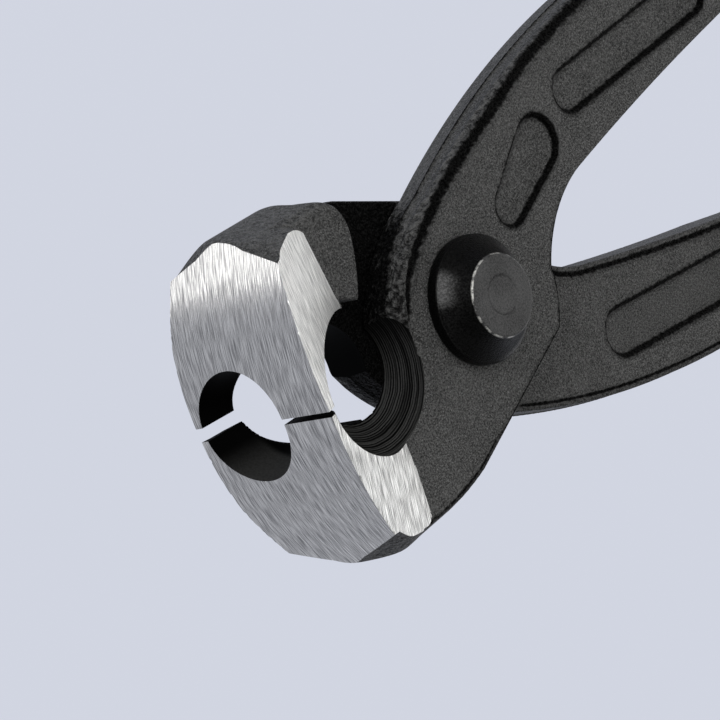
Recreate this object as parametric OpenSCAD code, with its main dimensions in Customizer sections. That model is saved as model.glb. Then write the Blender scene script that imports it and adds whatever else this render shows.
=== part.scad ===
// Ear clamp pliers: two crossing levers on one rivet, with dipped sleeves on the handles.
// X runs along the tool with the jaws at -X and the handles at +X.
// Y is the way the jaws open, Z is the axis of the rivet, and the origin is the middle of the joint.
// Each lever is drawn as a closed forging: its plate and handle lie at +Z, its jaw at -Y.
// The second lever is the same forging turned half a turn about X.

/* [Opening] */
// Angle between the two closing faces as the tool lies here, in degrees
rest_opening = 1.15; // [0.2:0.05:8]

/* [Joint] */
// Thickness of each lever at the joint and along the bare handle
plate_t = 6.04; // [5:0.01:8]
// Air between the two plates, shared by both sides of the mid-plane
plate_gap = 0.1; // [0.06:0.01:0.3]
// Radius of the round of the plate about the rivet
disc_r = 13.2; // [12:0.1:13.8]
// Diameter of the rivet's shank
shank_d = 9; // [6:0.1:11]
// Radial clearance of the turning lever on the shank
shank_play = 0.05; // [0.02:0.01:0.09]
// Diameter of a rivet head where it meets the plate
head_d = 15.5; // [12:0.1:18]
// Diameter of the flat top of a rivet head
head_top_d = 10; // [6:0.1:11.8]
// Height of the straight rim of a rivet head
head_rim_h = 1.5; // [0.5:0.1:2.5]
// Whole height of a rivet head
head_h = 4.9; // [3:0.1:6]
// Diameter of the stamped ring in the top of a rivet head
stamp_d = 4.8; // [3:0.1:5.6]
// Width and depth of the stamped ring
stamp_w = 0.5; // [0.3:0.05:0.8]

/* [Jaws] */
// Distance from the rivet to the foremost point of the jaws
jaw_reach = 32.5; // [31:0.1:36]
// Radius of the rounded front of the jaws
front_r = 42.1; // [38:0.1:60]
// Half width of the jaws at their front
jaw_half_w = 11.35; // [10.5:0.05:12.5]
// Slope of the ground side on the lever's plate side, in degrees
plate_side_slope = 19.2; // [17:0.1:21]
// Slope of the ground side on the lever's other side, in degrees
block_side_slope = 24.8; // [22:0.1:26]
// Slope of the ground sides towards the outer end of the jaw, in degrees
end_slope = 2.4; // [1:0.1:4]
// Height of the outer end of a jaw above the closing face
jaw_h = 19.8; // [19:0.1:21]
// Radius of the domed outer end of a jaw, across its width
dome_r = 16.9; // [15:0.1:20]
// Height of the block that backs the jaw on the side away from the plate
block_h = 4.6; // [3.5:0.1:5.5]
// Distance from the rivet back to the rear of that block
block_back = 12.6; // [12:0.1:13.4]

/* [Throat] */
// Distance from the rivet to the centre of the throat
throat_x = 20.6; // [20.4:0.1:21]
// Radius of the throat in the near plate and the lower jaw
plate_throat_r = 9.35; // [8.8:0.05:9.8]
// Radius of the throat on the near side of the upper jaw
upper_throat_r = 7.8; // [7.2:0.05:8.4]
// Radius of the throat on the far side of the mid-plane, in both levers
far_throat_r = 6.6; // [6:0.05:7]
// Radius of the flare where the throat opens at the near tip of the jaws
flare_r = 10.8; // [10.2:0.05:11]
// Length of the flare in the upper jaw, along the rivet's axis
upper_flare_len = 4.7; // [3:0.1:5]
// Length of the flare in the lower jaw, along the rivet's axis
lower_flare_len = 1.9; // [1:0.1:3]
// How much further forward the throat lies on the far side
far_throat_shift = 0.3; // [0:0.1:0.6]
// Diameter of the round mouth through the front of the jaws
mouth_d = 13.3; // [11:0.1:14.5]
// How far the mouth lies from the mid-plane, towards the far side
mouth_offset = 3.24; // [2.5:0.01:4]

/* [Handles] */
// Distance from the rivet to the end of the steel handle
handle_end = 185; // [160:1:200]
// Radius of the outer edge beside the joint
outer_r = 120; // [110:1:130]
// Height of the outer edge over the axis where that radius is level
outer_top = 25.65; // [25:0.05:26.5]
// Radius of the inner edge beside the joint
inner_r = 421; // [400:1:440]
// Radius of the fillet between the handle's inner edge and the plate
crotch_r = 16; // [14:0.5:18]
// Start of the joggle that brings the handle to the mid-plane
joggle_x = 64; // [58:1:70]
// Length of the joggle
joggle_len = 28; // [24:1:34]

/* [Pockets] */
// Depth of the forged pockets in the faces
pocket_depth = 0.5; // [0.2:0.1:1]
// Radius of the ends of the long pocket in the handle
long_pocket_r = 2.9; // [2:0.1:3.4]
// Distance between the centres of the long pocket's two ends
long_pocket_len = 27; // [15:1:30]

/* [Grips] */
// Bare steel between the end of the joggle and the front of the grip
grip_setback = 2; // [1:0.5:10]
// Thickness of the dipped sleeve on the handle's edges
grip_wall = 2.4; // [1.5:0.1:4]
// Thickness of the dipped sleeve over the handle's two faces
grip_cover = 2.6; // [1.5:0.1:4]
// Thickness of the sleeve past the end of the steel
grip_cap = 2.5; // [2:0.1:6]

/* [Hidden] */
$fn = 96;
far = 100;
plate_lo = plate_gap / 2;
plate_hi = plate_lo + plate_t;
front_c = [front_r - jaw_reach, 0];
// Where the handle's two edges change from arcs to the long slim tail
tail_x = 50;
outer_c = [53, outer_top - outer_r];
inner_top = [116.5, 16.2];
inner_c = inner_top - [0, inner_r];
tail_outer_slope = (outer_c[0] - tail_x) / outer_r;
tail_inner_slope = (inner_c[0] - tail_x) / inner_r;
tail_outer_curve = -0.000154;
tail_inner_curve = -0.00081;
// Plan of the plate: its lower end at the jaw, where the curve there meets the straight edge,
// the nose below the crotch, the root of the handle, the round's jaw side and the neck's foot
plate_toe = [-20.7, -19.5];
plate_knee = [-9, -17.6];
toe_edge_r = 42;
disc_foot = [11.5, -9];
nose_r = 14.6;
handle_root = [0.6, 13.6];
shoulder_r = 24.9;
disc_side = [-disc_r * cos(14), disc_r * sin(14)];
neck_foot = [-14.5, 0];
edge_steps = 40;
crotch_top = [22.5, edge_y(22.5, inner_c, inner_r)];
crotch_foot = [14.35, -2];

function edge_y(x, c, r) = c[1] + sqrt(r * r - pow(x - c[0], 2));
function tail_y(x, c, r, slope, curve) =
    edge_y(tail_x, c, r) + slope * (x - tail_x) + curve * pow(x - tail_x, 2);
function outer_y(x) =
    x < tail_x ? edge_y(x, outer_c, outer_r)
               : tail_y(x, outer_c, outer_r, tail_outer_slope, tail_outer_curve);
function inner_y(x) =
    x < tail_x ? edge_y(x, inner_c, inner_r)
               : tail_y(x, inner_c, inner_r, tail_inner_slope, tail_inner_curve);

// Points on the arc of radius r from p to q, without q, bulging to the right of the way for r > 0
function bow(p, q, r, steps = 12) =
    let (
        m = (p + q) / 2,
        d = q - p,
        half = norm(d) / 2,
        up = [-d[1], d[0]] / norm(d),
        c = m + up * sign(r) * sqrt(r * r - half * half),
        a0 = atan2(p[1] - c[1], p[0] - c[0]),
        sweep = 2 * asin(half / abs(r)) * sign(r)
    )
    [for (i = [0:steps - 1]) c + abs(r) * [cos(a0 + sweep * i / steps), sin(a0 + sweep * i / steps)]];

// Outline of a slot whose two round ends have radii r1 at p and r2 at q
function slot_outline(p, q, r1, r2, steps = 12) =
    let (
        d = q - p,
        along = atan2(d[1], d[0]),
        flank = acos((r1 - r2) / norm(d))
    )
    concat(
        [for (i = [0:steps]) let (a = along + flank + i * (360 - 2 * flank) / steps)
            p + r1 * [cos(a), sin(a)]],
        [for (i = [0:steps]) let (a = along - flank + i * 2 * flank / steps)
            q + r2 * [cos(a), sin(a)]]
    );

// Plate, neck and handle in plan, with the jaw's end of the neck left square
module lever_plan() {
    polygon(concat(
        bow(plate_toe, plate_knee, toe_edge_r),
        [plate_knee],
        bow(disc_foot, crotch_foot, nose_r, 8),
        bow(crotch_foot, crotch_top, -crotch_r),
        [for (i = [0:edge_steps])
            let (x = crotch_top[0] + i * (handle_end - crotch_top[0]) / edge_steps)
                [x, inner_y(x)]],
        [for (i = [0:edge_steps])
            let (x = handle_end - i * (handle_end - handle_root[0]) / edge_steps)
                [x, outer_y(x)]],
        bow(handle_root, disc_side, shoulder_r, 20),
        [disc_side, neck_foot, [plate_toe[0], 0]]
    ));
}

// Side view of plate and handle: flat at the joint, then a double bend to the mid-plane
module lever_side() {
    mid = joggle_x + joggle_len / 2;
    end = joggle_x + joggle_len;
    drop = plate_lo + plate_t / 2;
    bend_r = (pow(joggle_len / 2, 2) + pow(drop / 2, 2)) / drop;
    polygon(concat(
        [[-40, plate_hi], [-40, plate_lo]],
        bow([joggle_x, plate_lo], [mid, plate_lo - drop / 2], -bend_r),
        bow([mid, plate_lo - drop / 2], [end, plate_lo - drop], bend_r),
        [[end, plate_lo - drop], [far * 3, plate_lo - drop], [far * 3, plate_hi - drop]],
        bow([end, plate_hi - drop], [mid, plate_hi - drop / 2], -bend_r),
        bow([mid, plate_hi - drop / 2], [joggle_x, plate_hi], bend_r)
    ));
}

module plate_and_handle() {
    intersection() {
        translate([0, 0, -far]) linear_extrude(2 * far) lever_plan();
        translate([0, far, 0]) rotate([90, 0, 0]) linear_extrude(2 * far) lever_side();
    }
}

// Jaw and backing block in plan: the block's rear is a shallow curve with a rounded corner,
// and a step in front of its heel clears the other lever's plate
module jaw_plan() {
    corner_r = 5;
    heel = [-block_back - 2.9, -7.2];
    step = [-block_back - 5.7, -7.2];
    back = [-block_back, -14.7];
    toe = [-block_back - 3.4, -20];
    polygon(concat(
        [[-far, 0], [-far, -far / 4], [toe[0], -far / 4]],
        bow(toe, back, corner_r, 8),
        bow(back, heel, 22),
        [heel, step, [step[0], 0]]
    ));
}

// Everything above a plane through the front edge that falls away to the rear and the outer end
module above_side(slope) {
    translate([-jaw_reach, 0, jaw_half_w])
        rotate([end_slope, slope, 0])
            translate([-far / 2, -far / 2, 0])
                cube([2 * far, far, far / 2]);
}

// What is ground off the sides of the jaw down to the plate's face and the block's face
module side_grinding() {
    intersection() {
        above_side(plate_side_slope);
        translate([-far, -far, plate_hi]) cube([2 * far, 2 * far, far]);
    }
    mirror([0, 0, 1]) intersection() {
        above_side(block_side_slope);
        translate([-far, -far, block_h]) cube([2 * far, 2 * far, far]);
    }
}

module jaw() {
    difference() {
        intersection() {
            translate([0, 0, -far / 2]) linear_extrude(far) jaw_plan();
            translate([front_c[0], 0, -far / 2]) cylinder(r = front_r, h = far, $fn = 240);
            translate([-far, dome_r - jaw_h, 0]) rotate([0, 90, 0]) cylinder(r = dome_r, h = far);
        }
        side_grinding();
    }
}

// Shallow forged pockets: one beside the joint, one along each face of the handle
module pockets() {
    long_p = [28.8, 15];
    long_q = long_p + long_pocket_len * [cos(4.2), sin(4.2)];
    translate([0, 0, plate_hi - pocket_depth]) linear_extrude(far) {
        polygon(slot_outline([11.8, 7], [20.2, 11.7], 2.6, 3.6));
        polygon(slot_outline(long_p, long_q, long_pocket_r, long_pocket_r));
    }
    translate([0, 0, plate_lo + pocket_depth - far]) linear_extrude(far)
        polygon(slot_outline(long_p, long_q, long_pocket_r, long_pocket_r));
}

// One lever without its pivot hole and without the cuts that both levers share when closed
module forging() {
    difference() {
        union() {
            plate_and_handle();
            jaw();
        }
        pockets();
    }
}

// Throat on the near side, about its own axis, with a flare that ends at the jaws' near tip
module near_throat(r, flare_len) {
    translate([-throat_x, 0, 0]) {
        cylinder(r = r, h = far);
        translate([0, 0, jaw_half_w - flare_len]) cylinder(r1 = r, r2 = flare_r, h = flare_len);
    }
}

// Mouth through the front and the throat on the far side, cut alike in both levers
module shared_cuts() {
    translate([-far, 0, -mouth_offset]) rotate([0, 90, 0])
        cylinder(d = mouth_d, h = far - throat_x);
    translate([-throat_x - far_throat_shift, 0, -far]) cylinder(r = far_throat_r, h = far);
}

module pivot_hole(d) {
    cylinder(d = d, h = far, center = true);
}

module near_lever() {
    color("#3b3d42") rotate([0, 0, rest_opening / 2]) difference() {
        forging();
        shared_cuts();
        near_throat(plate_throat_r, lower_flare_len);
        pivot_hole(shank_d);
    }
}

module far_lever() {
    color("#4a4d54") rotate([0, 0, -rest_opening / 2]) difference() {
        rotate([180, 0, 0]) forging();
        shared_cuts();
        near_throat(upper_throat_r, upper_flare_len);
        pivot_hole(shank_d + 2 * shank_play);
    }
}

// Rivet head standing on z = 0
module rivet_head() {
    difference() {
        union() {
            cylinder(d = head_d, h = head_rim_h);
            translate([0, 0, head_rim_h])
                cylinder(d1 = head_d, d2 = head_top_d, h = head_h - head_rim_h);
        }
        translate([0, 0, head_h - stamp_w]) difference() {
            cylinder(d = stamp_d + stamp_w, h = far);
            cylinder(d = stamp_d - stamp_w, h = far);
        }
    }
}

module joint_rivet() {
    color("#2f3135") {
        translate([0, 0, -plate_hi - plate_lo]) cylinder(d = shank_d, h = 2 * plate_hi + plate_lo);
        translate([0, 0, plate_hi]) rivet_head();
        translate([0, 0, -plate_hi - plate_lo]) rotate([180, 0, 0]) rivet_head();
    }
}

// One cross slice of the sleeve: where it ends, and how much smaller it is than the full section
module grip_slice(x, shrink) {
    slice = 1;
    top = outer_y(x) + grip_wall - shrink;
    foot = inner_y(x) - grip_wall + shrink;
    high = plate_t / 2 + grip_cover - shrink;
    corner = 3.6;
    translate([x - slice, (top + foot) / 2, 0]) rotate([90, 0, 90]) linear_extrude(slice)
        hull() for (sx = [-1, 1], sy = [-1, 1])
            translate([sx * ((top - foot) / 2 - corner), sy * (high - corner)])
                circle(r = corner, $fn = 32);
}

// Sleeve dipped onto the handle, drawn for the closed near lever
module grip() {
    tip = handle_end + grip_cap;
    lip = joggle_x + joggle_len + grip_setback + 1;
    span = tip - lip;
    xs = [lip, lip + 2, lip + span * 0.25, lip + span * 0.5, lip + span * 0.75, tip - 6, tip - 2, tip];
    shrinks = [1.2, 0, 0, 0, 0, 0, 0.8, 2];
    difference() {
        for (i = [0:len(xs) - 2]) hull() {
            grip_slice(xs[i], shrinks[i]);
            grip_slice(xs[i + 1], shrinks[i + 1]);
        }
        plate_and_handle();
    }
}

module upper_grip() {
    color("#b3222a") rotate([0, 0, rest_opening / 2]) grip();
}

module lower_grip() {
    color("#b3222a") rotate([0, 0, -rest_opening / 2]) rotate([180, 0, 0]) grip();
}

near_lever();
far_lever();
joint_rivet();
upper_grip();
lower_grip();
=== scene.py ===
"""Ear clamp pliers: two forged levers on one rivet, with dipped grips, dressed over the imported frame.

Lengths inside the shape classes are millimetres in the frame's own axes: X along the tool with the
jaws at -X, Y the way the jaws open, Z along the rivet. Meshes are written in metres.
"""
import logging
import math
from dataclasses import dataclass, field
from enum import Enum
from typing import Callable

import bpy
import numpy as np
from mathutils import Matrix, Vector


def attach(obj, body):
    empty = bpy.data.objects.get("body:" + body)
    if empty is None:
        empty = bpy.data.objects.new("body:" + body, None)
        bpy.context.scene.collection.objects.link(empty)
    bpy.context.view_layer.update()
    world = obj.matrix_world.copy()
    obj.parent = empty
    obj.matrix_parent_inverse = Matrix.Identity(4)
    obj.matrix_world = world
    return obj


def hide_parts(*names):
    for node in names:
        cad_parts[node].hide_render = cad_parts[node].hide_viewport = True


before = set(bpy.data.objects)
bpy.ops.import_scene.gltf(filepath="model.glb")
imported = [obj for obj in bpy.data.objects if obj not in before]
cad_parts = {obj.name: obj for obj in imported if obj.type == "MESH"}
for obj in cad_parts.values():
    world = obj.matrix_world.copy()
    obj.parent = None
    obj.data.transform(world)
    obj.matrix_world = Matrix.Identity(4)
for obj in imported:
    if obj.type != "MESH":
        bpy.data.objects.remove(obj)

logging.basicConfig(level=logging.INFO, format="%(message)s")
LOG = logging.getLogger("ear_clamp_pliers")
MM = 0.001
# Keep a division by a length, and by a difference of two values of a field, finite
TINY = 1e-12
NUDGE = 1e-9
Array = np.ndarray
Colour = tuple[float, float, float]


class Side(Enum):
    """Which of the two levers a forging is."""

    NEAR = "near"
    FAR = "far"


class Surface(Enum):
    """The kinds of surface on a lever, in the order of its material slots."""

    FORGED = 0
    FRONT_GROUND = 1
    SIDE_GROUND = 2
    BORED = 3


def linear(value: float) -> float:
    """The linear value of an sRGB channel from 0 to 255."""
    v = value / 255.0
    return v / 12.92 if v <= 0.04045 else ((v + 0.055) / 1.055) ** 2.4


def srgb(r: float, g: float, b: float) -> tuple[float, float, float, float]:
    """An opaque linear colour from three sRGB channels."""
    return (linear(r), linear(g), linear(b), 1.0)


def arc_between(p: tuple, q: tuple, r: float, steps: int = 24) -> Array:
    """Points on the arc of radius r from p to q, without q.

    The centre lies on the line at right angles to pq through its middle, to the left for r > 0, and the
    points are spread evenly in angle.

    Args:
        p: First point.
        q: Last point.
        r: Radius, with the sign of the turn.
        steps: Number of points.

    Returns:
        An array of steps rows.
    """
    a, b = np.array(p, float), np.array(q, float)
    d = b - a
    half = np.hypot(*d) / 2
    up = np.array([-d[1], d[0]]) / np.hypot(*d)
    c = (a + b) / 2 + up * np.sign(r) * math.sqrt(r * r - half * half)
    start = math.atan2(a[1] - c[1], a[0] - c[0])
    sweep = 2 * math.asin(half / abs(r)) * np.sign(r)
    t = start + sweep * np.arange(steps) / steps
    return c + abs(r) * np.stack([np.cos(t), np.sin(t)], 1)


def rounded_max(a: Array, b: Array, r: Array | float) -> Array:
    """Field of the part common to two solids, with their edge rounded to radius r.

    Both fields are raised by r, the positive parts are joined as the sides of a right triangle, and r is
    taken off again.

    Args:
        a: Signed distance to the first solid.
        b: Signed distance to the second solid.
        r: Radius of the rounding.

    Returns:
        The combined field.
    """
    u, v = a + r, b + r
    return np.minimum(np.maximum(u, v), 0.0) + np.hypot(np.maximum(u, 0.0), np.maximum(v, 0.0)) - r


@dataclass
class PlanTable:
    """Signed distance to a closed plan outline, kept on a grid and read between its points.

    Attributes:
        outline: Corners of the outline, counter-clockwise.
        xs: Grid along X.
        ys: Grid along Y.
        traits: Values that belong to each corner, read at the nearest point of the outline.
        batch: How many grid points are worked on at once.
    """

    outline: Array
    xs: Array
    ys: Array
    traits: dict[str, Array] = field(default_factory=dict)
    batch: int = 20000

    def __post_init__(self) -> None:
        """Fills the tables with the distance to the edge that is nearest."""
        p = self.outline
        q = np.roll(p, -1, axis=0)
        e = q - p
        length2 = (e * e).sum(1)
        gx, gy = np.meshgrid(self.xs, self.ys, indexing="ij")
        points = np.stack([gx.ravel(), gy.ravel()], 1)
        near2 = np.empty(len(points))
        which = np.empty(len(points), int)
        along = np.empty(len(points))
        inside = np.zeros(len(points), bool)
        for start in range(0, len(points), self.batch):
            part = slice(start, start + self.batch)
            w = points[part, None, :] - p[None]
            t = np.clip((w * e[None]).sum(2) / length2[None], 0, 1)
            off = w - t[..., None] * e[None]
            d2 = (off * off).sum(2)
            best = d2.argmin(1)
            row = np.arange(len(best))
            near2[part], which[part], along[part] = d2[row, best], best, t[row, best]
            y = points[part, 1][:, None]
            x = points[part, 0][:, None]
            spans = (p[None, :, 1] > y) != (q[None, :, 1] > y)
            rise = np.where(e[:, 1] == 0, np.inf, e[:, 1])
            cross = p[None, :, 0] + (y - p[None, :, 1]) * (e[:, 0] / rise)[None]
            inside[part] = (spans & (x < cross)).sum(1) % 2 == 1
        shape = gx.shape
        self.distance = (np.sqrt(near2) * np.where(inside, -1, 1)).reshape(shape)
        self.values = {}
        for name, trait in self.traits.items():
            following = np.roll(trait, -1)
            self.values[name] = ((1 - along) * trait[which] + along * following[which]).reshape(shape)

    def _read(self, table: Array, x: Array, y: Array) -> Array:
        """Value of a table between its grid points, weighted by nearness in X and Y.

        Args:
            table: Values at the grid's points.
            x: Places along X.
            y: Places along Y.

        Returns:
            The value at each place.
        """
        i = np.clip(np.searchsorted(self.xs, x) - 1, 0, len(self.xs) - 2)
        j = np.clip(np.searchsorted(self.ys, y) - 1, 0, len(self.ys) - 2)
        u = (x - self.xs[i]) / (self.xs[i + 1] - self.xs[i])
        v = (y - self.ys[j]) / (self.ys[j + 1] - self.ys[j])
        return ((1 - u) * (1 - v) * table[i, j] + u * (1 - v) * table[i + 1, j]
                + (1 - u) * v * table[i, j + 1] + u * v * table[i + 1, j + 1])

    def at(self, x: Array, y: Array) -> Array:
        """Signed distance at the points, which is negative inside."""
        return self._read(self.distance, x, y)

    def trait(self, name: str, x: Array, y: Array) -> Array:
        """A trait of the nearest point of the outline."""
        return self._read(self.values[name], x, y)


@dataclass
class Contour:
    """Mesh of the zero level of a field, with one corner per crossed grid cell.

    Attributes:
        solid: The field, as a function of arrays x, y and z.
        xs: Grid along X.
        ys: Grid along Y.
        zs: Grid along Z.
        step: Half the length over which a slope is read, in millimetres.
        tries: Rounds of false position at a crossing.
        flatness: Least share of the greatest spread of slopes in a cell that counts as an edge.
        inward: How far a corner's normal is read from the corner, as a share of the way to the face's middle.
    """

    solid: Callable[[Array, Array, Array], Array]
    xs: Array
    ys: Array
    zs: Array
    step: float = 0.02
    tries: int = 4
    flatness: float = 0.008
    inward: float = 0.25

    def slope(self, p: Array) -> Array:
        """Unit gradient of the field at points, from central differences.

        Args:
            p: Points, one per row.

        Returns:
            One unit vector per row.
        """
        h = self.step
        g = np.empty_like(p)
        for a in range(3):
            d = np.zeros(3)
            d[a] = h
            hi, lo = p + d, p - d
            g[:, a] = self.solid(hi[:, 0], hi[:, 1], hi[:, 2]) - self.solid(lo[:, 0], lo[:, 1], lo[:, 2])
        return g / np.maximum(np.linalg.norm(g, axis=1, keepdims=True), TINY)

    def mesh(self) -> tuple[Array, Array]:
        """Corners and four-sided faces of the zero level.

        Where the field changes sign along a grid line, the crossing is found by false position. Each cell
        gets the point that lies best on the tangent planes at its crossings, which keeps sharp edges
        sharp. Each crossed grid line gets the face that joins its four cells.

        Returns:
            The corners and the faces as arrays of rows.
        """
        axes = (self.xs, self.ys, self.zs)
        values = self.solid(self.xs[:, None, None], self.ys[None, :, None], self.zs[None, None, :])
        shape = values.shape
        inner = values < 0
        crossings, slopes, cells, faces_cells = [], [], [], []
        for a in range(3):
            lo = [slice(None)] * 3
            hi = [slice(None)] * 3
            lo[a], hi[a] = slice(None, -1), slice(1, None)
            index = np.argwhere(inner[tuple(lo)] != inner[tuple(hi)])
            after = index.copy()
            after[:, a] += 1
            f0 = values[tuple(index.T)].astype(float)
            f1 = values[tuple(after.T)].astype(float)
            p0 = np.stack([axes[k][index[:, k]] for k in range(3)], 1)
            span = axes[a][after[:, a]] - axes[a][index[:, a]]
            t0, t1 = np.zeros(len(index)), np.ones(len(index))
            for _ in range(self.tries):
                t = np.clip(t0 + (t1 - t0) * f0 / (f0 - f1), t0, t1)
                p = p0.copy()
                p[:, a] += t * span
                ft = self.solid(p[:, 0], p[:, 1], p[:, 2])
                same = (ft < 0) == (f0 < 0)
                t0, f0 = np.where(same, t, t0), np.where(same, ft, f0)
                t1, f1 = np.where(same, t1, t), np.where(same, f1, ft)
                f1 = np.where(f1 == f0, f1 + NUDGE, f1)
            b, c = (a + 1) % 3, (a + 2) % 3
            corners = []
            for db, dc in ((-1, -1), (0, -1), (0, 0), (-1, 0)):
                cell = index.copy()
                cell[:, b] += db
                cell[:, c] += dc
                corners.append(np.ravel_multi_index(cell.T, shape))
            quad = np.stack(corners, 1)
            outward = inner[tuple(index.T)]
            faces_cells.append(np.where(outward[:, None], quad, quad[:, ::-1]))
            n = self.slope(p)
            for corner in corners:
                crossings.append(p)
                slopes.append(n)
                cells.append(corner)
        p, n, cell = np.concatenate(crossings), np.concatenate(slopes), np.concatenate(cells)
        used, slot = np.unique(cell, return_inverse=True)
        count = np.bincount(slot).astype(float)

        def total(weights: Array) -> Array:
            """Sum of a value over the crossings of each cell."""
            return np.bincount(slot, weights=weights)

        centre = np.stack([total(p[:, k]) / count for k in range(3)], 1)
        reach = (n * (p - centre[slot])).sum(1)
        normal = np.empty((len(used), 3, 3))
        right = np.empty((len(used), 3))
        for i in range(3):
            right[:, i] = total(n[:, i] * reach)
            for j in range(3):
                normal[:, i, j] = total(n[:, i] * n[:, j])
        size, way = np.linalg.eigh(normal)
        keep = size > self.flatness * size[:, 2:3]
        inverse = np.where(keep, 1 / np.where(keep, size, 1), 0)
        along = np.einsum("nij,ni->nj", way, right) * inverse
        vertex = centre + np.einsum("nij,nj->ni", way, along)
        cell_at = np.stack(np.unravel_index(used, shape), 1)
        low = np.stack([axes[k][cell_at[:, k]] for k in range(3)], 1)
        high = np.stack([axes[k][cell_at[:, k] + 1] for k in range(3)], 1)
        vertex = np.clip(vertex, low, high)
        faces = np.searchsorted(used, np.concatenate(faces_cells))
        return vertex, faces

    def corner_normals(self, vertex: Array, faces: Array) -> Array:
        """Normal at each corner of each face, read a little way from the corner towards the face's middle.

        Args:
            vertex: Points, one per row.
            faces: Numbers of each face's corners.

        Returns:
            One unit vector per corner, face after face.
        """
        corner = vertex[faces]
        middle = corner.mean(1, keepdims=True)
        return self.slope((corner + self.inward * (middle - corner)).reshape(-1, 3))


def spaced(*legs: tuple[float, float, float]) -> Array:
    """A rising grid from legs of (start, end, step), which share their end points."""
    parts = [np.linspace(a, b, max(1, round((b - a) / s)), endpoint=False) for a, b, s in legs]
    return np.concatenate(parts + [np.array([legs[-1][1]])])


def fade(value: Array, start: Array | float, end: Array | float) -> Array:
    """A straight rise from 0 at start to 1 at end, level beyond both, where end may also be the lower one."""
    return np.clip((value - start) / (end - start), 0, 1)


def bell(value: Array, middle: float, width: Array | float) -> Array:
    """A bell curve of height 1 about a middle value."""
    return np.exp(-((value - middle) / width) ** 2)


def slot_outline(start: tuple, along: tuple, r1: float, r2: float, steps: int = 24) -> Array:
    """Outline of a slot whose two round ends may differ.

    Each end is the arc between the two straight lines that touch both ends.

    Args:
        start: Centre of the first end.
        along: Step from there to the centre of the second end.
        r1: Radius of the first end.
        r2: Radius of the second end.
        steps: Number of points on each end.

    Returns:
        The corners, counter-clockwise.
    """
    turn = math.atan2(along[1], along[0])
    flank = math.acos((r1 - r2) / np.hypot(*along))
    ends = ((np.array(start), r1, turn + flank + np.linspace(0, 2 * math.pi - 2 * flank, steps)),
            (np.add(start, along), r2, turn - flank + np.linspace(0, 2 * flank, steps)))
    return np.concatenate([centre + r * np.stack([np.cos(a), np.sin(a)], 1) for centre, r, a in ends])


@dataclass(frozen=True)
class SideForm:
    """What differs between the two levers, in millimetres.

    Attributes:
        throat_r: Radius of the throat on the tool's near side.
        flare_z: Height at which that throat begins to flare.
        flare: How much wider it is where the flare ends.
        low_r: Radius of the throat on the tool's far side.
        low_shift: How much further forward the throat lies there.
        pivot_r: Radius of the pivot hole.
        flank_r: Greatest rounding of the forged outer edge.
        crown_w: Width of the bulge of the jaw's crown.
        crown: Height of that bulge at each of LeverForging's crown_xs.
        roof_h: Height of the roof's ridge over the closing face.
        roof_shift: Where the ridge lies along Z.
    """

    throat_r: float
    flare_z: float
    flare: float
    low_r: float
    low_shift: float
    pivot_r: float
    flank_r: float
    crown_w: float
    crown: tuple
    roof_h: float
    roof_shift: float


FORMS = {
    Side.NEAR: SideForm(throat_r=9.35, flare_z=8.0, flare=1.8, low_r=6.3, low_shift=0.1, pivot_r=4.5,
                        flank_r=2.8, crown_w=3.6, crown=(0.95, 0.5, 0.0), roof_h=19.4, roof_shift=-0.7),
    Side.FAR: SideForm(throat_r=7.75, flare_z=5.6, flare=3.1, low_r=6.65, low_shift=0.3, pivot_r=4.55,
                       flank_r=0.6, crown_w=4.6, crown=(1.05, 1.0, 0.3), roof_h=19.9, roof_shift=0.7),
}


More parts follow.
